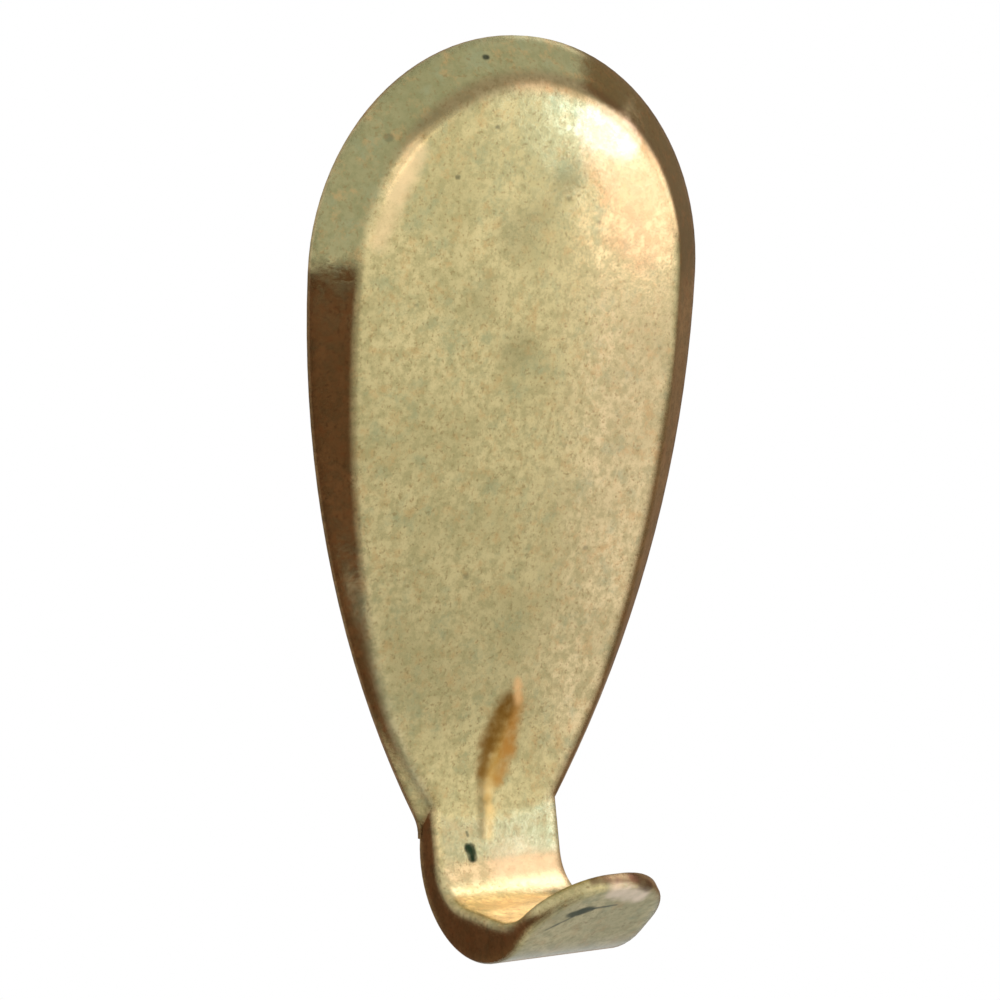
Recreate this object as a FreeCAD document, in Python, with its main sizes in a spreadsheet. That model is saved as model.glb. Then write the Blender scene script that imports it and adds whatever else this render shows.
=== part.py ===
"""Picture hook: one brass casting that hangs on a picture rail.

A bevelled drop-shaped plate shows at the front, a tongue grows out of its lower end and turns up into the
hook, and a return behind the plate reaches over the rail. Millimetres; +Z up, the front faces -Y.
The origin is the middle of the seat that bears on the top of the rail.
"""
import FreeCAD
import Part
import Sketcher

import math
import os

# Driving dimensions, in millimetres and degrees. Heights are counted from the seat.
SIZES = {
    # Drop-shaped plate, seen from the front
    "drop_radius": 16.0,
    "neck_width": 10.5,
    "neck_drop": 38.9,
    "neck_blend": 3.0,
    # Plate, seen from the side: a thin rim and a barrel-shaped face, thickest at the top of the drop, that
    # turns forward into the tongue at its lower end
    "rim_thickness": 0.4,
    "plate_thickness": 2.8,
    "foot_step": 0.3,
    "crown_across": 200.0,
    "root_start": 28.5,
    "root_radius": 42.0,
    "ridge_rounding": 1.1,
    # Bevel: the slimmer drop that it would close in on, just in front of the face
    "bevel_margin": 0.2,
    "bevel_inset": 4.1,
    "bevel_ease": 16.0,
    "bevel_lift": 0.5,
    # Tongue and hook, seen from the side
    "root_depth": 0.84,
    "neck_thickness": 2.5,
    "ramp_angle": 14.0,
    "heel_radius": 7.0,
    "bend_thickness": 3.3,
    "cradle_back_radius": 3.2,
    "cradle_front_radius": 4.5,
    "lip_inner_angle": 44.5,
    "lip_outer_angle": 46.0,
    "lip_thickness": 1.3,
    "lip_reach": 16.5,
    "lip_flat": 0.9,
    "hook_rounding": 0.35,
    # Return behind the plate
    "rail_gap": 12.0,
    "return_width": 11.0,
    "return_thickness": 2.2,
    "bridge_thickness": 2.4,
    "return_drop": 8.4,
    "return_inner_corner": 2.0,
    "return_rounding": 0.4,
    "return_embed": 1.0,
    "return_root": 0.8,
}

PART_LABEL = "picture_hook"
# Radius of the plate's sides, which run from the half circle into the arcs beside the neck
WAIST = "(sizes.drop_radius - sizes.neck_width / 2)"
SIDE_RADIUS = (
    f"((sizes.neck_drop ^ 2 - sizes.neck_blend ^ 2 + ({WAIST} - sizes.neck_blend) ^ 2) / (2 * {WAIST}))"
)
# Radius of the face along the plate, as in crown_along
FALL = "(sizes.plate_thickness - sizes.rim_thickness - sizes.foot_step)"
CROWN_ALONG = f"(((sizes.drop_radius + sizes.neck_drop) ^ 2 + {FALL} ^ 2) / (2 * {FALL}))"
# Sweep of the face about its upright axis, in degrees: enough to pass the plate on both sides
CROWN_SWEEP = 40.0
# How far the hollow at the root of the tongue runs on below its own centre, as a share of its radius
ROOT_SWEEP = 0.6
# Two points closer than this count as one when edges are picked out
TINY = 1e-4


def make_sheet(doc):
    """Spreadsheet of the driving dimensions, one aliased cell each."""
    sheet = doc.addObject("Spreadsheet::Sheet", "sizes")
    for row, (name, value) in enumerate(SIZES.items(), start=1):
        sheet.set(f"A{row}", name)
        sheet.set(f"B{row}", str(value))
        sheet.setAlias(f"B{row}", name)
    doc.recompute()
    return sheet


def new_body(doc, name):
    """An empty body whose own Y = 0 is the back of the plate, and its three origin planes, by role."""
    body = doc.addObject("PartDesign::Body", name)
    body.setExpression("Placement.Base.y", "-sizes.rail_gap / 2")
    doc.recompute()
    planes = {f.Role: f for f in body.Origin.OriginFeatures}
    return body, planes


def new_sketch(body, plane, name):
    """A sketch lying on one of the body's origin planes."""
    sketch = body.newObject("Sketcher::SketchObject", name)
    sketch.AttachmentSupport = [(plane, "")]
    sketch.MapMode = "FlatFace"
    return sketch


def drive(sketch, name, expression, *constraint):
    """Adds a named dimension to a sketch and ties it to the sheet."""
    index = sketch.addConstraint(Sketcher.Constraint(*constraint))
    sketch.renameConstraint(index, name)
    sketch.setExpression(f"Constraints.{name}", expression)


def tie(sketch, kind, *ends):
    """Adds a geometric constraint with no size."""
    sketch.addConstraint(Sketcher.Constraint(kind, *ends))


def segment(sketch, start, end):
    """Adds a straight line between two points of the sketch and returns its index."""
    line = Part.LineSegment(FreeCAD.Vector(*start, 0), FreeCAD.Vector(*end, 0))
    return sketch.addGeometry(line, False)


def arc(sketch, centre, radius, start_angle, end_angle):
    """Adds an arc that runs anticlockwise between two angles, in radians, and returns its index."""
    circle = Part.Circle(FreeCAD.Vector(*centre, 0), FreeCAD.Vector(0, 0, 1), radius)
    return sketch.addGeometry(Part.ArcOfCircle(circle, start_angle, end_angle), False)


def plate_outline(body, plane, sheet):
    """Outline of the plate: a top half circle, long side arcs, and small arcs that blend into the neck."""
    radius = sheet.drop_radius
    half = sheet.neck_width / 2
    blend = sheet.neck_blend
    depth = sheet.neck_drop
    side = (depth**2 - blend**2 + (radius - half - blend) ** 2) / (2 * (radius - half))
    turn = math.atan2(depth, side - radius + half + blend)
    sketch = new_sketch(body, plane, "plate_outline")
    top = arc(sketch, (0, 0), radius, 0, math.pi)
    right = arc(sketch, (radius - side, 0), side, -turn, 0)
    right_blend = arc(sketch, (half + blend, -depth), blend, math.pi - turn, math.pi)
    foot = segment(sketch, (-half, -depth), (half, -depth))
    left_blend = arc(sketch, (-half - blend, -depth), blend, 0, turn)
    left = arc(sketch, (side - radius, 0), side, math.pi, math.pi + turn)
    tie(sketch, "Tangent", top, 1, right, 2)
    tie(sketch, "Tangent", top, 2, left, 1)
    tie(sketch, "Tangent", right, 1, right_blend, 1)
    tie(sketch, "Tangent", left, 2, left_blend, 2)
    tie(sketch, "Coincident", foot, 1, left_blend, 1)
    tie(sketch, "Coincident", foot, 2, right_blend, 2)
    tie(sketch, "Horizontal", left_blend, 3, left_blend, 1)
    tie(sketch, "Horizontal", right_blend, 3, right_blend, 2)
    tie(sketch, "Horizontal", top, 1, top, 3)
    tie(sketch, "Horizontal", top, 2, top, 3)
    tie(sketch, "Coincident", top, 3, -1, 1)
    tie(sketch, "Equal", left_blend, right_blend)
    tie(sketch, "Symmetric", foot, 1, foot, 2, -2)
    drive(sketch, "radius", "sizes.drop_radius", "Radius", top, radius)
    drive(sketch, "foot_width", "sizes.neck_width", "DistanceX", foot, 1, foot, 2, sheet.neck_width)
    drive(sketch, "foot_depth", "sizes.neck_drop", "DistanceY", foot, 1, -1, 1, depth)
    drive(sketch, "blend", "sizes.neck_blend", "Radius", left_blend, blend)
    return sketch, side


def bevel_outline(body, plane, name, size, expressions):
    """Drop that the bevel starts from or closes in on: a half circle, two side arcs and a level foot.

    size and expressions hold the same three entries: circle radius, side radius and foot depth.
    """
    radius, side, depth = size
    turn = math.asin(depth / side)
    half = radius - side + side * math.cos(turn)
    sketch = new_sketch(body, plane, name)
    top = arc(sketch, (0, 0), radius, 0, math.pi)
    right = arc(sketch, (radius - side, 0), side, -turn, 0)
    foot = segment(sketch, (-half, -depth), (half, -depth))
    left = arc(sketch, (side - radius, 0), side, math.pi, math.pi + turn)
    tie(sketch, "Tangent", top, 1, right, 2)
    tie(sketch, "Tangent", top, 2, left, 1)
    tie(sketch, "Coincident", foot, 1, left, 2)
    tie(sketch, "Coincident", foot, 2, right, 1)
    tie(sketch, "Horizontal", top, 1, top, 3)
    tie(sketch, "Horizontal", top, 2, top, 3)
    tie(sketch, "Horizontal", foot)
    tie(sketch, "Equal", left, right)
    tie(sketch, "Coincident", top, 3, -1, 1)
    drive(sketch, "radius", expressions[0], "Radius", top, radius)
    drive(sketch, "side", expressions[1], "Radius", left, side)
    drive(sketch, "foot_depth", expressions[2], "DistanceY", foot, 1, -1, 1, depth)
    return sketch


def edges_where(shape, test):
    """Names of the edges of a shape that pass a test."""
    return [f"Edge{i}" for i, edge in enumerate(shape.Edges, start=1) if test(edge)]


def round_edges(body, name, base, test, radius_expression):
    """Rounds the chosen edges of a feature with a fillet tied to the sheet."""
    fillet = body.newObject("PartDesign::Fillet", name)
    fillet.Base = (base, edges_where(base.Shape, test))
    fillet.setExpression("Radius", radius_expression)
    body.Document.recompute()
    return fillet


def make_plate(doc, sheet):
    """Front plate: a thin rim, a bevel lofted up from it, and a barrel-shaped face."""
    body, planes = new_body(doc, "front_plate")
    outline, side = plate_outline(body, planes["XZ_Plane"], sheet)
    doc.recompute()
    rim = body.newObject("PartDesign::Pad", "rim")
    rim.Profile = outline
    rim.setExpression("Length", "sizes.rim_thickness")
    doc.recompute()

    foot = bevel_outline(
        body,
        planes["XZ_Plane"],
        "bevel_foot",
        (sheet.drop_radius, side, sheet.neck_drop),
        ("sizes.drop_radius", SIDE_RADIUS, "sizes.neck_drop"),
    )
    foot.setExpression("AttachmentOffset.Base.z", "sizes.rim_thickness")
    head = bevel_outline(
        body,
        planes["XZ_Plane"],
        "bevel_head",
        (
            sheet.drop_radius - sheet.bevel_inset,
            side + sheet.bevel_ease,
            sheet.neck_drop + sheet.bevel_lift,
        ),
        (
            "sizes.drop_radius - sizes.bevel_inset",
            f"{SIDE_RADIUS} + sizes.bevel_ease",
            "sizes.neck_drop + sizes.bevel_lift",
        ),
    )
    head.setExpression("AttachmentOffset.Base.z", "sizes.plate_thickness + sizes.bevel_margin")
    head.setExpression("AttachmentOffset.Base.y", "sizes.bevel_lift")
    doc.recompute()
    bevel = body.newObject("PartDesign::AdditiveLoft", "bevel")
    bevel.Profile = foot
    bevel.Sections = [head]
    bevel.Ruled = True
    doc.recompute()

    crown = crown_cut(doc, body, planes["YZ_Plane"], sheet)
    ridge = round_edges(body, "ridge", crown, lambda edge: on_ridge(edge, sheet), "sizes.ridge_rounding")
    body.Tip = ridge
    return body


def crown_along(sheet):
    """Radius of the face along the plate: from the full thickness at the top to a step above the rim."""
    fall = sheet.plate_thickness - sheet.rim_thickness - sheet.foot_step
    length = sheet.drop_radius + sheet.neck_drop
    return (length**2 + fall**2) / (2 * fall)


def crown_cut(doc, body, plane, sheet):
    """Turns away everything in front of the face, which is round along and across and runs into the tongue."""
    sketch = new_sketch(body, plane, "crown_profile")
    along = crown_along(sheet)
    behind = along - sheet.plate_thickness
    reach = 2 * sheet.neck_drop
    deep = 2 * sheet.drop_radius
    root = sheet.root_radius
    rise = math.asin(reach / along)
    turn = math.asin((sheet.drop_radius + sheet.root_start) / along)
    edge = behind - along * math.cos(rise)
    upper = sheet.drop_radius + reach
    root_y = behind - (along + root) * math.cos(turn)
    root_z = sheet.drop_radius - (along + root) * math.sin(turn)
    sweep = math.asin(ROOT_SWEEP)
    root_end = (root_y + root * math.cos(sweep), root_z - root * ROOT_SWEEP)
    axis_y = sheet.crown_across - sheet.plate_thickness
    face = arc(sketch, (behind, sheet.drop_radius), along, math.pi - rise, math.pi + turn)
    hollow = arc(sketch, (root_y, root_z), root, -sweep, turn)
    top = segment(sketch, (edge, upper), (-deep, upper))
    front = segment(sketch, (-deep, upper), (-deep, root_end[1]))
    bottom = segment(sketch, (-deep, root_end[1]), root_end)
    axis = segment(sketch, (axis_y, 0), (axis_y, deep))
    sketch.toggleConstruction(axis)
    tie(sketch, "Tangent", face, 2, hollow, 2)
    tie(sketch, "Coincident", face, 1, top, 1)
    tie(sketch, "Coincident", top, 2, front, 1)
    tie(sketch, "Coincident", front, 2, bottom, 1)
    tie(sketch, "Coincident", bottom, 2, hollow, 1)
    tie(sketch, "Horizontal", top)
    tie(sketch, "Vertical", front)
    tie(sketch, "Horizontal", bottom)
    tie(sketch, "Vertical", axis)
    tie(sketch, "PointOnObject", axis, 1, -1)
    drive(sketch, "along", CROWN_ALONG, "Radius", face, along)
    drive(sketch, "behind", f"{CROWN_ALONG} - sizes.plate_thickness", "DistanceX", -1, 1, face, 3, behind)
    drive(sketch, "crown_height", "sizes.drop_radius", "DistanceY", -1, 1, face, 3, sheet.drop_radius)
    drive(sketch, "upper", "2 * sizes.neck_drop", "DistanceY", face, 3, face, 1, reach)
    drive(sketch, "root_start", "sizes.root_start", "DistanceY", face, 2, -1, 1, sheet.root_start)
    drive(sketch, "root_radius", "sizes.root_radius", "Radius", hollow, root)
    drive(
        sketch,
        "root_sweep",
        f"{ROOT_SWEEP} * sizes.root_radius",
        "DistanceY", hollow, 1, hollow, 3, root * ROOT_SWEEP,
    )
    drive(sketch, "deep", "2 * sizes.drop_radius", "DistanceX", front, 1, -1, 1, deep)
    drive(sketch, "axis_length", "2 * sizes.drop_radius", "DistanceY", axis, 1, axis, 2, deep)
    drive(
        sketch,
        "axis",
        "sizes.crown_across - sizes.plate_thickness",
        "DistanceX", -1, 1, axis, 1, axis_y,
    )
    doc.recompute()
    crown = body.newObject("PartDesign::Groove", "crown")
    crown.Profile = sketch
    crown.ReferenceAxis = (sketch, ["Axis0"])
    crown.Midplane = True
    crown.Angle = CROWN_SWEEP
    doc.recompute()
    return crown


def on_ridge(edge, sheet):
    """True for an edge where the bevel of the top and sides meets the barrel-shaped face."""
    axis_y = sheet.crown_across - sheet.plate_thickness
    along = crown_along(sheet)
    behind = along - sheet.plate_thickness
    for vertex in edge.Vertexes:
        profile_y = axis_y - math.hypot(vertex.X, vertex.Y - axis_y)
        radius = math.hypot(profile_y - behind, vertex.Z - sheet.drop_radius)
        if abs(radius - along) > 10 * TINY:
            return False
    return True


def make_hook(doc, sheet):
    """Tongue and hook: a side profile as wide as the neck, with a round-cornered lip and softened edges."""
    body, planes = new_body(doc, "tongue")
    sketch = new_sketch(body, planes["YZ_Plane"], "hook_profile")
    ramp_lean = math.radians(sheet.ramp_angle)
    inner_lean = math.radians(sheet.lip_inner_angle)
    outer_lean = math.radians(sheet.lip_outer_angle)
    heel = (-sheet.heel_radius, -sheet.neck_drop)
    floor = -sheet.neck_drop - sheet.heel_radius + sheet.bend_thickness
    back_radius = sheet.cradle_back_radius
    front_radius = sheet.cradle_front_radius
    back_centre_y = -sheet.neck_thickness - back_radius * math.cos(ramp_lean)
    back_centre = (back_centre_y, floor + back_radius)
    ramp_end = (-sheet.neck_thickness, back_centre[1] - back_radius * math.sin(ramp_lean))
    root_z = ramp_end[1] + (sheet.neck_thickness - sheet.root_depth) / math.tan(ramp_lean)
    ramp_start = (-sheet.root_depth, root_z)
    heel_end = (
        heel[0] - sheet.heel_radius * math.sin(outer_lean),
        heel[1] - sheet.heel_radius * math.cos(outer_lean),
    )
    lip_start_z = floor + front_radius - front_radius * math.cos(inner_lean)
    lip_start_y = heel_end[0] + sheet.lip_thickness / math.sin(outer_lean)
    lip_start_y -= (lip_start_z - heel_end[1]) / math.tan(outer_lean)
    lip_start = (lip_start_y, lip_start_z)
    front_centre = (lip_start_y + front_radius * math.sin(inner_lean), floor + front_radius)
    tip_outer = (
        -sheet.lip_reach,
        heel_end[1] + (sheet.lip_reach + heel_end[0]) * math.tan(outer_lean),
    )
    across = (math.sin(outer_lean), math.cos(outer_lean))
    along = (-math.cos(inner_lean), math.sin(inner_lean))
    gap = (tip_outer[0] - lip_start[0], tip_outer[1] - lip_start[1])
    spread = across[0] * along[1] - across[1] * along[0]
    thickness = (along[0] * gap[1] - along[1] * gap[0]) / spread
    tip_inner = (tip_outer[0] + thickness * across[0], tip_outer[1] + thickness * across[1])

    root = segment(sketch, (0, root_z), ramp_start)
    ramp = segment(sketch, ramp_start, ramp_end)
    back_arc = arc(sketch, back_centre, back_radius, -math.pi / 2, ramp_lean * -1)
    floor_line = segment(sketch, (back_centre[0], floor), (front_centre[0], floor))
    front_arc = arc(sketch, front_centre, front_radius, -math.pi / 2 - inner_lean, -math.pi / 2)
    lip_inner = segment(sketch, lip_start, tip_inner)
    tip = segment(sketch, tip_inner, tip_outer)
    lip_outer = segment(sketch, tip_outer, heel_end)
    heel_arc = arc(sketch, heel, sheet.heel_radius, -math.pi / 2 - outer_lean, 0)
    back = segment(sketch, (0, -sheet.neck_drop), (0, root_z))
    tie(sketch, "Coincident", root, 2, ramp, 1)
    tie(sketch, "Tangent", ramp, 2, back_arc, 2)
    tie(sketch, "Tangent", back_arc, 1, floor_line, 1)
    tie(sketch, "Tangent", floor_line, 2, front_arc, 2)
    tie(sketch, "Tangent", front_arc, 1, lip_inner, 1)
    tie(sketch, "Coincident", lip_inner, 2, tip, 1)
    tie(sketch, "Coincident", tip, 2, lip_outer, 1)
    tie(sketch, "Tangent", lip_outer, 2, heel_arc, 1)
    tie(sketch, "Tangent", heel_arc, 2, back, 1)
    tie(sketch, "Coincident", back, 2, root, 1)
    tie(sketch, "PointOnObject", back, 1, -2)
    tie(sketch, "Vertical", back)
    tie(sketch, "Horizontal", root)
    tie(sketch, "Horizontal", floor_line)
    tie(sketch, "Perpendicular", tip, lip_outer)
    drive(sketch, "heel_radius", "sizes.heel_radius", "Radius", heel_arc, sheet.heel_radius)
    drive(sketch, "back_radius", "sizes.cradle_back_radius", "Radius", back_arc, back_radius)
    drive(sketch, "front_radius", "sizes.cradle_front_radius", "Radius", front_arc, front_radius)
    drive(sketch, "lip", "sizes.lip_thickness", "Distance", lip_inner, 1, lip_outer, sheet.lip_thickness)
    drive(
        sketch, "neck", "sizes.neck_thickness", "DistanceX", ramp, 2, -1, 1, sheet.neck_thickness
    )
    drive(sketch, "reach", "sizes.lip_reach", "DistanceX", tip, 2, -1, 1, sheet.lip_reach)
    drive(sketch, "root_depth", "sizes.root_depth", "DistanceX", root, 2, -1, 1, sheet.root_depth)
    drive(sketch, "neck_drop", "sizes.neck_drop", "DistanceY", back, 1, -1, 1, sheet.neck_drop)
    drive(
        sketch,
        "floor_drop",
        "sizes.neck_drop + sizes.heel_radius - sizes.bend_thickness",
        "DistanceY", floor_line, 1, -1, 1, -floor,
    )
    drive(sketch, "ramp_angle", "-90 - sizes.ramp_angle", "Angle", ramp, -math.pi / 2 - ramp_lean)
    drive(sketch, "inner_angle", "180 - sizes.lip_inner_angle", "Angle", lip_inner, math.pi - inner_lean)
    drive(sketch, "outer_angle", "-sizes.lip_outer_angle", "Angle", lip_outer, -outer_lean)
    doc.recompute()
    pad = body.newObject("PartDesign::Pad", "hook")
    pad.Profile = sketch
    pad.Midplane = True
    pad.setExpression("Length", "sizes.neck_width")
    doc.recompute()
    half = sheet.neck_width / 2

    def at_tip_corner(edge):
        first, last = edge.Vertexes[0], edge.Vertexes[-1]
        return abs(first.X - last.X) < TINY and all(
            math.hypot(v.Y - tip_outer[0], v.Z - tip_outer[1]) < thickness + TINY for v in (first, last)
        )

    def on_free_outline(edge):
        middle = edge.valueAt((edge.FirstParameter + edge.LastParameter) / 2)
        beside = abs(abs(middle.x) - half) < TINY and middle.z < root_z - TINY
        past_lip = middle.y < lip_start[0] - TINY
        return beside or past_lip

    corners = round_edges(body, "lip_corners", pad, at_tip_corner, "(sizes.neck_width - sizes.lip_flat) / 2")
    rounded = round_edges(body, "hook_edges", corners, on_free_outline, "sizes.hook_rounding")
    body.Tip = rounded
    return body


def make_return(doc, sheet):
    """Return behind the plate: a bridge over the rail and a short leg that drops behind it."""
    body, planes = new_body(doc, "rail_return")
    sketch = new_sketch(body, planes["YZ_Plane"], "return_profile")
    gap = sheet.rail_gap
    inner = sheet.return_inner_corner
    leg = sheet.return_thickness
    outer = inner + leg
    bridge = sheet.bridge_thickness
    embed = sheet.return_embed
    end = -sheet.return_drop + leg / 2
    quarter = math.pi / 2
    seat = segment(sketch, (-embed, 0), (gap - inner, 0))
    inner_arc = arc(sketch, (gap - inner, -inner), inner, 0, quarter)
    leg_inner = segment(sketch, (gap, -inner), (gap, end))
    leg_end = arc(sketch, (gap + leg / 2, end), leg / 2, math.pi, 2 * math.pi)
    leg_outer = segment(sketch, (gap + leg, end), (gap + leg, bridge - outer))
    outer_arc = arc(sketch, (gap + leg - outer, bridge - outer), outer, 0, quarter)
    top = segment(sketch, (gap + leg - outer, bridge), (-embed, bridge))
    foot = segment(sketch, (-embed, bridge), (-embed, 0))
    tie(sketch, "Tangent", seat, 2, inner_arc, 2)
    tie(sketch, "Tangent", inner_arc, 1, leg_inner, 1)
    tie(sketch, "Tangent", leg_inner, 2, leg_end, 1)
    tie(sketch, "Tangent", leg_end, 2, leg_outer, 1)
    tie(sketch, "Tangent", leg_outer, 2, outer_arc, 1)
    tie(sketch, "Tangent", outer_arc, 2, top, 1)
    tie(sketch, "Coincident", top, 2, foot, 1)
    tie(sketch, "Coincident", foot, 2, seat, 1)
    tie(sketch, "Horizontal", seat)
    tie(sketch, "Vertical", leg_inner)
    tie(sketch, "Vertical", leg_outer)
    tie(sketch, "Horizontal", top)
    tie(sketch, "Vertical", foot)
    tie(sketch, "PointOnObject", seat, 2, -1)
    drive(sketch, "gap", "sizes.rail_gap", "DistanceX", -1, 1, leg_inner, 1, gap)
    drive(sketch, "embed", "sizes.return_embed", "DistanceX", seat, 1, -1, 1, embed)
    drive(sketch, "inner_corner", "sizes.return_inner_corner", "Radius", inner_arc, inner)
    drive(
        sketch,
        "outer_corner",
        "sizes.return_inner_corner + sizes.return_thickness",
        "Radius", outer_arc, outer,
    )
    drive(sketch, "leg", "sizes.return_thickness", "DistanceX", leg_inner, 2, leg_outer, 1, leg)
    drive(sketch, "bridge", "sizes.bridge_thickness", "DistanceY", -1, 1, top, 1, bridge)
    drive(
        sketch,
        "drop",
        "sizes.return_drop - sizes.return_thickness / 2",
        "DistanceY", leg_inner, 2, -1, 1, -end,
    )
    doc.recompute()
    pad = body.newObject("PartDesign::Pad", "return_strip")
    pad.Profile = sketch
    pad.Midplane = True
    pad.setExpression("Length", "sizes.return_width")
    doc.recompute()

    half = sheet.return_width / 2

    def on_side(edge):
        ends = edge.Vertexes
        return all(abs(abs(v.X) - half) < TINY for v in ends) and not all(
            abs(v.Y + embed) < TINY for v in ends
        )

    rounded = round_edges(body, "return_edges", pad, on_side, "sizes.return_rounding")
    body.Tip = rounded
    return body


def check(doc):
    """Stops if anything in the document failed to build or came out without a sound solid."""
    for item in doc.Objects:
        if "Invalid" in item.State or "Error" in item.State:
            raise RuntimeError(f"{item.Label} failed: {item.State}")
        shape = getattr(item, "Shape", None)
        if item.isDerivedFrom("Part::Feature") and (shape.isNull() or not shape.isValid()):
            raise RuntimeError(f"{item.Label} has no sound shape")


def join(doc, sheet, plate, hook, rail):
    """One casting out of the three bodies, with a fillet where the bridge meets the plate's back."""
    casting = doc.addObject("Part::MultiFuse", "casting")
    casting.Shapes = [plate, hook, rail]
    casting.Refine = True
    doc.recompute()
    top = sheet.bridge_thickness
    side = sheet.return_width / 2
    plate_back = -sheet.rail_gap / 2

    def at_bridge_root(edge):
        middle = edge.valueAt((edge.FirstParameter + edge.LastParameter) / 2)
        flat = all(abs(y - plate_back) < TINY for y in (middle.y, *(v.Y for v in edge.Vertexes)))
        return flat and -TINY < middle.z < top + TINY and abs(middle.x) < side + TINY

    rooted = doc.addObject("Part::Fillet", PART_LABEL)
    rooted.Base = casting
    radius = sheet.return_root
    rooted.Edges = [
        (i, radius, radius) for i, edge in enumerate(casting.Shape.Edges, start=1) if at_bridge_root(edge)
    ]
    rooted.Label = PART_LABEL
    doc.recompute()
    return rooted


def main():
    doc = FreeCAD.newDocument("picture_hook")
    sheet = make_sheet(doc)
    plate = make_plate(doc, sheet)
    hook = make_hook(doc, sheet)
    rail = make_return(doc, sheet)
    part = join(doc, sheet, plate, hook, rail)
    check(doc)
    if len(part.Shape.Solids) != 1:
        raise RuntimeError("the casting is not one solid")
    os.makedirs("parts", exist_ok=True)
    part.Shape.exportStep(f"parts/{part.Label}.step")
    box = part.Shape.optimalBoundingBox(False)
    print(part.Label, round(part.Shape.Volume, 1), box)


main()
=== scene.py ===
import math

import bpy
from mathutils import Matrix, Vector

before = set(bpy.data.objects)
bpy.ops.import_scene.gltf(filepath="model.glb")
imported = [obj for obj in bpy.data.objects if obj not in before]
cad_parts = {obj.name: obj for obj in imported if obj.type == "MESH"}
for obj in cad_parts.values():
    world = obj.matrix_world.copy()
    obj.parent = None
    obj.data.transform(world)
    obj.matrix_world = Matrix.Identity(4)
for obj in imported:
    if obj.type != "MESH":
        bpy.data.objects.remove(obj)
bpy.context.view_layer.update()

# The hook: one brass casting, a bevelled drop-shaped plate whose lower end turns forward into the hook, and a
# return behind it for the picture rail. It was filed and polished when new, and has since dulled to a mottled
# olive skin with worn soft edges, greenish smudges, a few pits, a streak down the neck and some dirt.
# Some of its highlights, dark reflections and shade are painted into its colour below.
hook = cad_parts["picture_hook"]
brass = bpy.data.materials.new("aged_brass")
brass.use_nodes = True
nodes = brass.node_tree.nodes
links = brass.node_tree.links
shader = nodes["Principled BSDF"]
shader.inputs["Metallic"].default_value = 1.0
place = nodes.new("ShaderNodeTexCoord")


def noise_mask(label, scale, detail, roughness, low, high, stretch=(1.0, 1.0, 1.0)):
    """Mask from a noise of this scale per metre, spread between two levels of the noise."""
    lie = nodes.new("ShaderNodeMapping")
    lie.inputs["Scale"].default_value = stretch
    links.new(place.outputs["Object"], lie.inputs["Vector"])
    noise = nodes.new("ShaderNodeTexNoise")
    noise.label = label
    noise.inputs["Scale"].default_value = scale
    noise.inputs["Detail"].default_value = detail
    noise.inputs["Roughness"].default_value = roughness
    links.new(lie.outputs["Vector"], noise.inputs["Vector"])
    spread = nodes.new("ShaderNodeMapRange")
    spread.interpolation_type = "SMOOTHSTEP"
    spread.inputs["From Min"].default_value = low
    spread.inputs["From Max"].default_value = high
    links.new(noise.outputs["Fac"], spread.inputs["Value"])
    return spread.outputs["Result"]


# A mark is everything within a distance of a short line, with a soft and slightly ragged edge.
mark = bpy.data.node_groups.new("mark_along_a_line", "ShaderNodeTree")
for name, kind in (("Position", "NodeSocketVector"), ("Start", "NodeSocketVector"), ("End", "NodeSocketVector"),
                   ("Width", "NodeSocketFloat"), ("Softness", "NodeSocketFloat")):
    mark.interface.new_socket(name, in_out="INPUT", socket_type=kind)
mark.interface.new_socket("Mask", in_out="OUTPUT", socket_type="NodeSocketFloat")
given = mark.nodes.new("NodeGroupInput")
result = mark.nodes.new("NodeGroupOutput")


def vector_step(operation, *sources):
    """One vector sum inside the mark group."""
    step = mark.nodes.new("ShaderNodeVectorMath")
    step.operation = operation
    for slot, source in zip(("Vector", "Vector_001", "Vector_002"), sources):
        mark.links.new(source, next(s for s in step.inputs if s.identifier == slot))
    return step


ragged = mark.nodes.new("ShaderNodeTexNoise")
ragged.inputs["Scale"].default_value = 1500.0
ragged.inputs["Detail"].default_value = 5.0
mark.links.new(given.outputs["Position"], ragged.inputs["Vector"])
run = vector_step("SUBTRACT", given.outputs["End"], given.outputs["Start"])
away = vector_step("SUBTRACT", given.outputs["Position"], given.outputs["Start"])
ahead = vector_step("DOT_PRODUCT", away.outputs["Vector"], run.outputs["Vector"])
whole = vector_step("DOT_PRODUCT", run.outputs["Vector"], run.outputs["Vector"])
share = mark.nodes.new("ShaderNodeMath")
share.operation = "DIVIDE"
share.use_clamp = True
mark.links.new(ahead.outputs["Value"], share.inputs[0])
mark.links.new(whole.outputs["Value"], share.inputs[1])
nearest = mark.nodes.new("ShaderNodeVectorMath")
nearest.operation = "SCALE"
mark.links.new(run.outputs["Vector"], nearest.inputs["Vector"])
mark.links.new(share.outputs["Value"], nearest.inputs["Scale"])
apart = vector_step("DISTANCE", away.outputs["Vector"], nearest.outputs["Vector"])
uneven = mark.nodes.new("ShaderNodeMapRange")
uneven.inputs["From Min"].default_value = 0.3
uneven.inputs["From Max"].default_value = 0.7
uneven.inputs["To Min"].default_value = 0.86
uneven.inputs["To Max"].default_value = 1.16
mark.links.new(ragged.outputs["Fac"], uneven.inputs["Value"])
edge = mark.nodes.new("ShaderNodeMath")
edge.operation = "MULTIPLY"
mark.links.new(apart.outputs["Value"], edge.inputs[0])
mark.links.new(uneven.outputs["Result"], edge.inputs[1])
outer = mark.nodes.new("ShaderNodeMath")
outer.operation = "ADD"
mark.links.new(given.outputs["Width"], outer.inputs[0])
mark.links.new(given.outputs["Softness"], outer.inputs[1])
fade = mark.nodes.new("ShaderNodeMapRange")
fade.interpolation_type = "SMOOTHSTEP"
fade.inputs["To Min"].default_value = 1.0
fade.inputs["To Max"].default_value = 0.0
mark.links.new(edge.outputs["Value"], fade.inputs["Value"])
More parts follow.
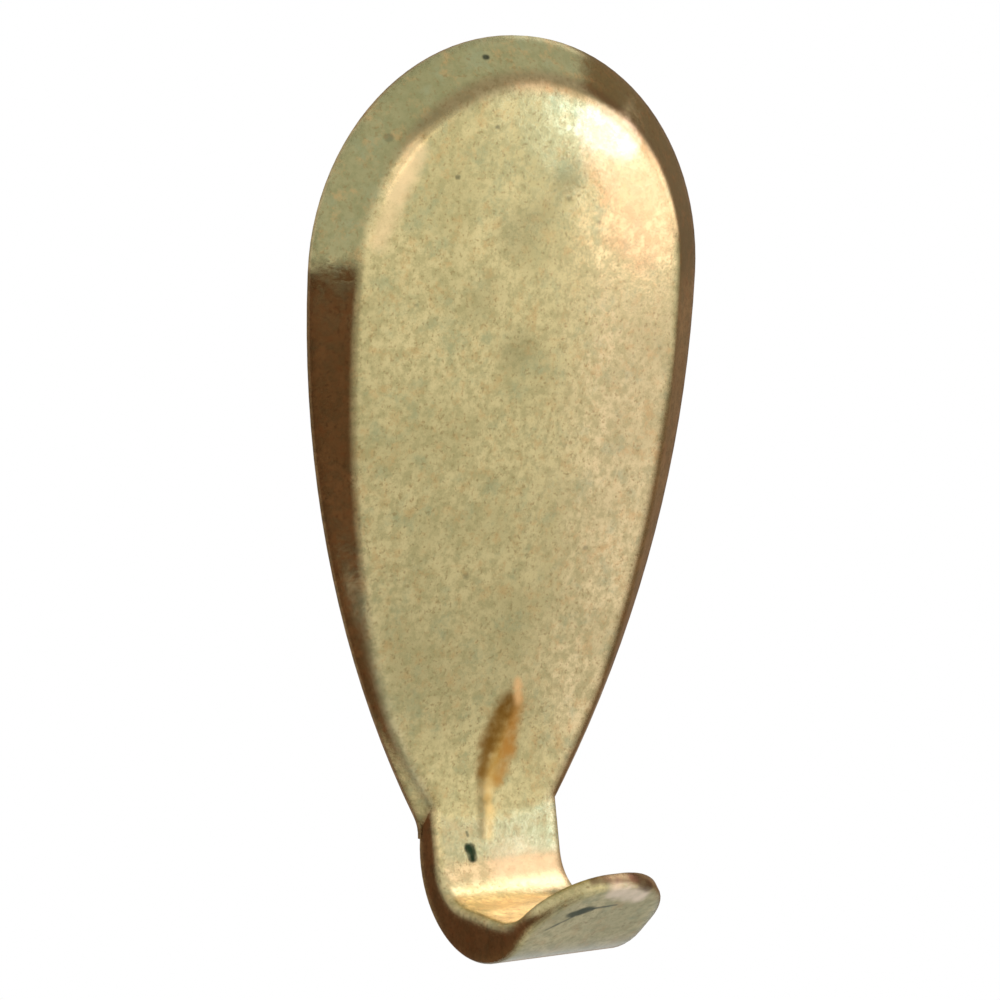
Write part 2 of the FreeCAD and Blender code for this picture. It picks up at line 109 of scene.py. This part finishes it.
mark.links.new(given.outputs["Width"], fade.inputs["From Min"])
mark.links.new(outer.outputs["Value"], fade.inputs["From Max"])
blotch = mark.nodes.new("ShaderNodeMapRange")
blotch.inputs["From Min"].default_value = 0.35
blotch.inputs["From Max"].default_value = 0.65
blotch.inputs["To Min"].default_value = 1.0
blotch.inputs["To Max"].default_value = 0.72
mark.links.new(ragged.outputs["Fac"], blotch.inputs["Value"])
broken = mark.nodes.new("ShaderNodeMath")
broken.operation = "MULTIPLY"
mark.links.new(fade.outputs["Result"], broken.inputs[0])
mark.links.new(blotch.outputs["Result"], broken.inputs[1])
mark.links.new(broken.outputs["Value"], result.inputs["Mask"])


def line_mask(start, end, width, softness):
    """Mask of a mark from one point to another, in millimetres on the hook."""
    drawn = nodes.new("ShaderNodeGroup")
    drawn.node_tree = mark
    links.new(place.outputs["Object"], drawn.inputs["Position"])
    drawn.inputs["Start"].default_value = Vector(start) / 1000
    drawn.inputs["End"].default_value = Vector(end) / 1000
    drawn.inputs["Width"].default_value = width / 1000
    drawn.inputs["Softness"].default_value = softness / 1000
    return drawn.outputs["Mask"]


def laid_over(under, mask, colour, strength):
    """The colour laid over what is under it, where the mask is, at this strength."""
    part = nodes.new("ShaderNodeMath")
    part.operation = "MULTIPLY"
    part.inputs[1].default_value = strength
    links.new(mask, part.inputs[0])
    mix = nodes.new("ShaderNodeMix")
    mix.data_type = "RGBA"
    links.new(part.outputs["Value"], mix.inputs["Factor"])
    if isinstance(under, tuple):
        mix.inputs["A"].default_value = under
    else:
        links.new(under, mix.inputs["A"])
    mix.inputs["B"].default_value = colour
    return mix.outputs["Result"]


# The skin: olive tarnish over polished brass, in soft clouds and a fine mottle, with tan and green tints.
POLISHED = (0.63, 0.525, 0.275, 1.0)
OLIVE = (0.35, 0.31, 0.145, 1.0)
TAN = (0.51, 0.34, 0.145, 1.0)
GREEN = (0.32, 0.34, 0.19, 1.0)
SPECK = (0.26, 0.18, 0.07, 1.0)
clouds = noise_mask("cloudy skin", 190, 4, 0.55, 0.38, 0.66)
mottle = noise_mask("mottled skin", 1450, 8, 0.70, 0.39, 0.63)
tan_tint = noise_mask("tan tint", 850, 8, 0.72, 0.50, 0.68)
green_tint = noise_mask("green tint", 520, 8, 0.70, 0.50, 0.70)
speckle = noise_mask("speckle", 3600, 4, 0.60, 0.54, 0.70)
colour = laid_over(POLISHED, clouds, OLIVE, 0.42)
colour = laid_over(colour, mottle, OLIVE, 0.72)

# The bevel round the top is painted a dull green, darker than the face: partly tarnish, partly painted shade
# standing for the dim reflection it shows. Along its ridge runs a brown line, a painted dark reflection.
BEVEL_TARNISH_AND_SHADE = (0.215, 0.225, 0.102, 1.0)
RIDGE_PAINTED_REFLECTION = (0.13, 0.075, 0.03, 1.0)
RIDGE_MIDDLE = (0.0, 0.0, 0.0003)
RIDGE_RADIUS = 0.0129
level_part = nodes.new("ShaderNodeVectorMath")
level_part.operation = "MULTIPLY"
level_part.inputs[1].default_value = (1.0, 0.0, 1.0)
links.new(place.outputs["Object"], level_part.inputs[0])
from_middle = nodes.new("ShaderNodeVectorMath")
from_middle.operation = "DISTANCE"
from_middle.inputs[1].default_value = RIDGE_MIDDLE
links.new(level_part.outputs["Vector"], from_middle.inputs[0])
off_ridge = nodes.new("ShaderNodeMath")
off_ridge.operation = "SUBTRACT"
off_ridge.inputs[1].default_value = RIDGE_RADIUS
links.new(from_middle.outputs["Value"], off_ridge.inputs[0])
beside_ridge = nodes.new("ShaderNodeMath")
beside_ridge.operation = "ABSOLUTE"
links.new(off_ridge.outputs["Value"], beside_ridge.inputs[0])
sides = nodes.new("ShaderNodeSeparateXYZ")
links.new(place.outputs["Object"], sides.inputs["Vector"])


def ramp(value, low, high):
    """Smooth step from 0 at one value to 1 at another."""
    step = nodes.new("ShaderNodeMapRange")
    step.interpolation_type = "SMOOTHSTEP"
    step.inputs["From Min"].default_value = low
    step.inputs["From Max"].default_value = high
    links.new(value, step.inputs["Value"])
    return step.outputs["Result"]


def both(first, second):
    """Where two masks both are."""
    meet = nodes.new("ShaderNodeMath")
    meet.operation = "MULTIPLY"
    links.new(first, meet.inputs[0])
    links.new(second, meet.inputs[1])
    return meet.outputs["Value"]


front_side = ramp(sides.outputs["Y"], -0.0061, -0.0065)
upper_half = ramp(sides.outputs["Z"], -0.003, 0.002)
on_bevel = both(both(ramp(from_middle.outputs["Value"], 0.0128, 0.0136), upper_half), front_side)
# The top bevel painted darker: tarnish and painted shade.
colour = laid_over(colour, on_bevel, BEVEL_TARNISH_AND_SHADE, 0.66)
colour = laid_over(colour, tan_tint, TAN, 0.60)
colour = laid_over(colour, green_tint, GREEN, 0.60)
colour = laid_over(colour, speckle, SPECK, 0.55)
# A brown line along the ridge: a painted dark reflection.
painted_ridge_reflection = both(ramp(beside_ridge.outputs["Value"], 0.0009, 0.0001), ramp(sides.outputs["Z"], 0.006, 0.0105))
colour = laid_over(colour, both(painted_ridge_reflection, front_side), RIDGE_PAINTED_REFLECTION, 0.60)

# Bare brass where the hook is touched, laid on brighter than wear alone as painted highlights: the ridge at the
# upper left and the wall of the cradle, then the face at the upper right and the end of the lip.
BARE_AND_HIGHLIGHT = (0.82, 0.60, 0.34, 1.0)
for start, end, width, softness, strength in (
    ((-9.3, -8.55, 8.2), (-11.0, -8.45, 5.4), 0.05, 1.1, 0.55),
    ((-9.8, -8.55, 7.4), (-12.1, -8.3, 2.2), 0.02, 1.3, 0.65),
    ((0.6, -8.6, -40.5), (3.8, -9.0, -41.2), 0.7, 1.8, 0.6),
):
    colour = laid_over(colour, line_mask(start, end, width, softness), BARE_AND_HIGHLIGHT, strength)
# Painted highlights: peach and white patches on the face at the upper right, and a pale one at the end of the
# lip.
RUBBED_HIGHLIGHT = (0.60, 0.36, 0.18, 1.0)
WHITE_HIGHLIGHT = (0.80, 0.71, 0.50, 1.0)
LIP_HIGHLIGHT = (0.96, 0.75, 0.53, 1.0)
for start, end, width, softness, tint, strength in (
    ((8.9, -8.5, 3.9), (9.7, -8.45, 3.3), 1.9, 1.9, RUBBED_HIGHLIGHT, 0.46),
    ((6.3, -8.6, 8.3), (8.7, -8.5, 6.2), 1.6, 1.5, RUBBED_HIGHLIGHT, 0.52),
    ((4.7, -8.7, 10.2), (7.4, -8.6, 9.2), 1.0, 1.0, WHITE_HIGHLIGHT, 0.40),
    ((-0.3, -22.1, -39.55), (2.2, -21.45, -40.2), 0.25, 0.9, LIP_HIGHLIGHT, 1.0),
):
    colour = laid_over(colour, line_mask(start, end, width, softness), tint, strength)

# Smudges of green on the face, and pits and specks where the casting was porous.
SMUDGE = (0.19, 0.18, 0.085, 1.0)
DIRT = (0.02, 0.025, 0.018, 1.0)
for x, y, z, width, softness, strength in (
    (2.71, -8.72, 6.45, 0.3, 1.6, 0.62),
    (-1.2, -8.67, 2.71, 0.4, 2.2, 0.40),
    (-0.78, -8.49, -5.07, 0.3, 1.9, 0.42),
    (0.9, -8.6, 4.2, 0.2, 1.6, 0.30),
    (-3.6, -8.5, -1.4, 0.2, 2.4, 0.22),
):
    colour = laid_over(colour, line_mask((x, y, z), (x + 0.3, y, z + 0.2), width, softness), SMUDGE, strength)
for x, y, z, width, strength in (
    (-6.28, -8.64, 6.52, 0.05, 0.7),
    (-3.3, -8.75, 9.89, 0.02, 0.55),
    (-11.17, -7.55, 8.94, 0.20, 0.4),
    (2.9, -8.72, 5.2, 0.04, 0.35),
    (5.6, -8.6, 3.6, 0.02, 0.35),
    (-9.0, -8.4, -2.0, 0.02, 0.3),
    (-3.6, -8.0, -20.5, 0.14, 0.35),
    (6.4, -8.0, -19.0, 0.12, 0.45),
    (-3.45, -7.2, 14.45, 0.10, 0.9),
):
    colour = laid_over(colour, line_mask((x, y, z), (x + 0.12, y, z), width, 0.2), DIRT, strength)

# A streak down the neck: brown on its left, orange on its right, paler gold and peach towards its ends.
UMBER = (0.18, 0.085, 0.014, 1.0)
RUST = (0.44, 0.20, 0.04, 1.0)
GOLD = (0.46, 0.26, 0.06, 1.0)
PALE_GOLD = (0.86, 0.60, 0.26, 1.0)
PEACH = (0.84, 0.50, 0.22, 1.0)
for start, end, width, softness, tint, strength in (
    ((-1.15, -7.4, -33.4), (-1.26, -8.07, -38.4), 0.02, 0.75, UMBER, 0.6),
    ((-0.4, -7.5, -34.4), (-0.6, -7.65, -35.9), 0.02, 0.62, PALE_GOLD, 0.8),
    ((-0.72, -7.7, -36.1), (-0.55, -7.95, -37.3), 0.02, 0.55, GOLD, 0.6),
    ((-0.5, -7.85, -36.9), (-0.78, -8.15, -38.6), 0.04, 0.72, PALE_GOLD, 0.85),
    ((0.5, -7.36, -30.6), (-0.3, -7.5, -34.6), 0.15, 1.20, GOLD, 0.95),
    ((1.58, -7.36, -29.6), (1.05, -7.4, -32.8), 0.08, 1.00, RUST, 0.95),
    ((1.05, -7.4, -32.8), (0.3, -7.47, -34.8), 0.02, 0.90, RUST, 0.7),
    ((0.75, -7.37, -29.6), (-0.65, -7.36, -32.3), 0.25, 1.05, UMBER, 0.98),
    ((-0.65, -7.36, -32.3), (-1.2, -7.42, -34.4), 0.05, 0.85, UMBER, 0.85),
    ((1.5, -7.42, -28.2), (1.72, -7.36, -29.5), 0.02, 0.58, PEACH, 0.85),
):
    colour = laid_over(colour, line_mask(start, end, width, softness), tint, strength)

# Hairline scratches on the face.
for start, end, strength in (
    ((6.3, -8.4, -9.0), (4.2, -8.3, -16.5), 0.3),
    ((2.6, -8.0, -21.0), (3.4, -7.7, -26.5), 0.35),
    ((-1.0, -8.2, -16.0), (-3.2, -8.0, -22.0), 0.2),
):
    colour = laid_over(colour, line_mask(start, end, 0.01, 0.09), UMBER, strength)

# Dirt on the hook: a small dark scar low on the neck, and a smear and a dark line on the lip. The lip's rim is
# painted brown, a painted dark reflection.
SCAR = (0.010, 0.024, 0.010, 1.0)
SMEAR = (0.035, 0.042, 0.004, 1.0)
RIM_DARK_REFLECTION = (0.14, 0.07, 0.035, 1.0)
for x in (-2.62, -2.38):
    colour = laid_over(colour, line_mask((x, -8.28, -39.3), (x + 0.2, -8.48, -40.0), 0.16, 0.24), SCAR, 0.96)
colour = laid_over(colour, line_mask((-2.6, -8.0, -38.3), (-2.55, -8.05, -38.5), 0.04, 0.15), SCAR, 0.7)
for x in (-2.75, -2.55, -2.35):
    colour = laid_over(colour, line_mask((x, -20.49, -41.2), (x + 1.0, -20.8, -40.9), 0.2, 0.32), SMEAR, 0.9)
colour = laid_over(colour, line_mask((-3.87, -19.38, -42.37), (-2.4, -20.3, -41.45), 0.02, 0.16), SCAR, 0.7)
colour = laid_over(colour, line_mask((-1.5, -20.8, -40.9), (0.7, -20.9, -40.8), 0.03, 0.16), SCAR, 0.75)
# The lip's rim painted brown: a painted dark reflection.
for start, end in (
    ((-1.8, -21.7, -38.7), (1.2, -22.05, -38.75)),
    ((1.2, -22.05, -38.75), (2.5, -21.9, -39.5)),
):
    colour = laid_over(colour, line_mask(start, end, 0.22, 0.42), RIM_DARK_REFLECTION, 0.85)
links.new(colour, shader.inputs["Base Color"])

# Its polish: duller where the skin is mottled, over a slightly wavy hand-filed surface with soft worn edges.
POLISHED_ROUGHNESS = 0.07
DULL_ROUGHNESS = 0.16
WORN_EDGE = 0.0010
WAVE_HEIGHT = 0.00003
GRAIN_HEIGHT = 0.0000014
gloss = nodes.new("ShaderNodeMapRange")
gloss.inputs["To Min"].default_value = POLISHED_ROUGHNESS
gloss.inputs["To Max"].default_value = DULL_ROUGHNESS
links.new(mottle, gloss.inputs["Value"])
links.new(gloss.outputs["Result"], shader.inputs["Roughness"])
worn = nodes.new("ShaderNodeBevel")
worn.samples = 4
worn.inputs["Radius"].default_value = WORN_EDGE
waves = nodes.new("ShaderNodeTexNoise")
waves.inputs["Scale"].default_value = 230.0
waves.inputs["Detail"].default_value = 2.0
links.new(place.outputs["Object"], waves.inputs["Vector"])
filed = nodes.new("ShaderNodeBump")
filed.inputs["Strength"].default_value = 1.0
filed.inputs["Distance"].default_value = WAVE_HEIGHT
links.new(waves.outputs["Fac"], filed.inputs["Height"])
links.new(worn.outputs["Normal"], filed.inputs["Normal"])
grain = nodes.new("ShaderNodeBump")
grain.inputs["Strength"].default_value = 1.0
grain.inputs["Distance"].default_value = GRAIN_HEIGHT
links.new(mottle, grain.inputs["Height"])
links.new(filed.outputs["Normal"], grain.inputs["Normal"])
links.new(grain.outputs["Normal"], shader.inputs["Normal"])

hook.data.materials.clear()
hook.data.materials.append(brass)

# The floor: a plain round sheet of pale matt board, well below the hook, which hangs from its rail. Only views
# from above and the underside of the lip show it.
FLOOR_DROP = 0.25
FLOOR_RADIUS = 0.45
FLOOR_PALE = (0.78, 0.82, 0.86, 1.0)
bpy.ops.mesh.primitive_circle_add(vertices=96, radius=FLOOR_RADIUS, fill_type="NGON",
                                  location=(0, 0, -FLOOR_DROP))
floor = bpy.context.object
floor.name = "floor"
pale = bpy.data.materials.new("pale_floor")
pale.use_nodes = True
pale.node_tree.nodes["Principled BSDF"].inputs["Base Color"].default_value = FLOOR_PALE
pale.node_tree.nodes["Principled BSDF"].inputs["Roughness"].default_value = 0.9
floor.data.materials.append(pale)


# The light tent: sheets of coloured board that stand and lie round the hook, out of the picture, for the metal
# to mirror. Brown ones darken the side bevels and the hook's side, and pale ones light the face, the lower left
# shoulder and the bend. They cast no shadow and no light on the floor.
def board(name, from_azimuth, to_azimuth, profile, foot_colour, head_colour):
    """Part of a turned sheet, with azimuths as the camera's, and radius and height from foot to head."""
    steps = 48
    verts = []
    faces = []
    rows = len(profile)
    for i in range(steps + 1):
        turn = math.radians(from_azimuth + (to_azimuth - from_azimuth) * i / steps)
        verts += [(r * math.sin(turn), -r * math.cos(turn), z) for r, z in profile]
        if i:
            a, b = (i - 1) * rows, i * rows
            faces += [(a + k, b + k, b + k + 1, a + k + 1) for k in range(rows - 1)]
    mesh = bpy.data.meshes.new(name)
    mesh.from_pydata(verts, [], faces)
    sheet = bpy.data.objects.new(name, mesh)
    bpy.context.scene.collection.objects.link(sheet)
    paint = bpy.data.materials.new(name)
    paint.use_nodes = True
    net = paint.node_tree
    net.nodes.remove(net.nodes["Principled BSDF"])
    spot = net.nodes.new("ShaderNodeTexCoord")
    height = net.nodes.new("ShaderNodeSeparateXYZ")
    net.links.new(spot.outputs["Object"], height.inputs["Vector"])
    shade = net.nodes.new("ShaderNodeMapRange")
    shade.data_type = "FLOAT_VECTOR"
    for label, value in (("From_Min_FLOAT3", (profile[0][1],) * 3), ("From_Max_FLOAT3", (profile[-1][1],) * 3),
                         ("To_Min_FLOAT3", foot_colour), ("To_Max_FLOAT3", head_colour)):
        next(k for k in shade.inputs if k.identifier == label).default_value = value
    level = net.nodes.new("ShaderNodeCombineXYZ")
    for side in "XYZ":
        net.links.new(height.outputs["Z"], level.inputs[side])
    net.links.new(level.outputs["Vector"], next(k for k in shade.inputs if k.identifier == "Vector"))
    glow = net.nodes.new("ShaderNodeEmission")
    net.links.new(shade.outputs["Vector"], glow.inputs["Color"])
    net.links.new(glow.outputs["Emission"], net.nodes["Material Output"].inputs["Surface"])
    mesh.materials.append(paint)
    sheet.visible_camera = False
    sheet.visible_diffuse = False
    sheet.visible_shadow = False


ARCH_REACH = 0.5


def arch(low, high):
    """Profile of a sheet that bends round the hook at one distance, between two elevations."""
    steps = [low + (high - low) * i / 12 for i in range(13)]
    return [(ARCH_REACH * math.cos(math.radians(e)), ARCH_REACH * math.sin(math.radians(e))) for e in steps]


WALL = [(0.45, -0.245), (0.45, -0.012)]
BROWN = (0.195, 0.105, 0.068)
DARK_BROWN = (0.155, 0.078, 0.052)
BACK_TAN = (0.42, 0.31, 0.22)
LOW_PALE = (0.80, 0.80, 0.74)
SIDE_BROWN = (0.26, 0.17, 0.12)
board("brown_board", -12, -100, WALL, BROWN, BROWN)
board("dark_board", -100, -165, WALL, DARK_BROWN, DARK_BROWN)
board("back_board", 130, 195, arch(-30, 38), BACK_TAN, BACK_TAN)
board("low_brown_board", -38, -100, [(0.20, -0.246), (0.45, -0.245)], BROWN, BROWN)
board("low_dark_board", -100, -205, [(0.05, -0.246), (0.45, -0.245)], BROWN, BROWN)
board("low_pale_board", -38, -100, [(0.05, -0.246), (0.20, -0.245)], LOW_PALE, LOW_PALE)
board("side_board", 74, 130, arch(-45, 38), (0.22, 0.14, 0.10), (0.46, 0.32, 0.24))
board("lower_side_board", 53, 74, arch(-45, -9), SIDE_BROWN, SIDE_BROWN)
board("front_board", -12, 39.6, arch(-20, 4), (0.74, 0.74, 0.70), (1.34, 1.34, 1.26))
board("right_board", 39.6, 53, arch(-20, -6.2), (1.15, 1.08, 1.15), (1.30, 1.20, 1.28))
board("high_board", 34, 56, arch(10.5, 46), (1.65, 1.45, 1.50), (1.75, 1.50, 1.55))

# The studio light: a white surround, and soft lamps that the metal mirrors. A window and its whiter core light
# the face at the upper right, one lamp above and a small one close by light the bend, and one in front lights
# the left ridge.
world = bpy.data.worlds.new("studio")
bpy.context.scene.world = world
world.use_nodes = True
around = world.node_tree.nodes["Background"]
around.inputs["Color"].default_value = (1.0, 1.0, 1.0, 1.0)
seen = world.node_tree.nodes.new("ShaderNodeLightPath")
shown = world.node_tree.nodes.new("ShaderNodeMath")
shown.operation = "ADD"
world.node_tree.links.new(seen.outputs["Is Camera Ray"], shown.inputs[0])
world.node_tree.links.new(seen.outputs["Is Glossy Ray"], shown.inputs[1])
through = world.node_tree.nodes.new("ShaderNodeMath")
through.operation = "ADD"
through.use_clamp = True
world.node_tree.links.new(shown.outputs["Value"], through.inputs[0])
world.node_tree.links.new(seen.outputs["Is Transmission Ray"], through.inputs[1])
level = world.node_tree.nodes.new("ShaderNodeMapRange")
level.inputs["To Min"].default_value = 0.7
level.inputs["To Max"].default_value = 1.0
world.node_tree.links.new(through.outputs["Value"], level.inputs["Value"])
world.node_tree.links.new(level.outputs["Result"], around.inputs["Strength"])


def soft_lamp(name, point, azimuth, elevation, distance, width, height, energy, colour):
    """Soft lamp at a distance in metres from a point on the hook, in millimetres, and aimed at it."""
    light = bpy.data.lights.new(name, "AREA")
    light.shape = "RECTANGLE"
    light.size = width
    light.size_y = height
    light.energy = energy
    light.color = colour
    lamp = bpy.data.objects.new(name, light)
    bpy.context.scene.collection.objects.link(lamp)
    turn, lift = math.radians(azimuth), math.radians(elevation)
    away = Vector((math.sin(turn) * math.cos(lift), -math.cos(turn) * math.cos(lift), math.sin(lift)))
    lamp.location = Vector(point) / 1000 + distance * away
    lamp.visible_camera = False
    lamp.rotation_mode = "QUATERNION"
    lamp.rotation_quaternion = (-away).to_track_quat("-Z", "Y")


RIGHT_OF_FACE = (8, -8.6, 7)
LEFT_RIDGE = (-11, -8.4, 6)
BEND = (2, -10, -42)
soft_lamp("window_lamp", RIGHT_OF_FACE, 45, -0.2, 0.42, 0.078, 0.090, 0.036, (1.0, 0.80, 0.88))
soft_lamp("window_core", RIGHT_OF_FACE, 40.4, 1.4, 0.42, 0.066, 0.052, 0.028, (0.35, 0.62, 1.0))
soft_lamp("top_lamp", BEND, 104, 54, 0.42, 0.17, 0.17, 0.14, (1.0, 0.86, 0.92))
soft_lamp("bend_lamp", BEND, 74.4, 51, 0.071, 0.025, 0.034, 0.0040, (1.0, 0.86, 0.92))
soft_lamp("front_lamp", LEFT_RIDGE, 11, 12, 0.42, 0.10, 0.12, 0.06, (1.0, 0.85, 0.72))

# The camera, a quarter of a metre from the hook, a little above it and to its left, and tipped a little. Its
# long lens takes in the hook from edge to edge.
CAMERA_REACH = 0.250
lens = bpy.data.cameras.new("camera")
lens.sensor_width = 36.0
lens.lens = 131.76
camera = bpy.data.objects.new("camera", lens)
bpy.context.scene.collection.objects.link(camera)
aim = Vector((-0.000383, -0.007, -0.01551))
azimuth, elevation, roll = math.radians(-35.527), math.radians(7.381), math.radians(2.681)
flat = math.cos(elevation)
back = Vector((math.sin(azimuth) * flat, -math.cos(azimuth) * flat, math.sin(elevation)))
right = Vector((math.cos(azimuth), math.sin(azimuth), 0.0))
up = back.cross(right)
right, up = right * math.cos(roll) + up * math.sin(roll), up * math.cos(roll) - right * math.sin(roll)
turned = Matrix((right, up, back)).transposed().to_4x4()
camera.matrix_world = Matrix.Translation(aim + back * CAMERA_REACH) @ turned
bpy.context.scene.camera = camera
bpy.context.scene.view_settings.view_transform = "Standard"
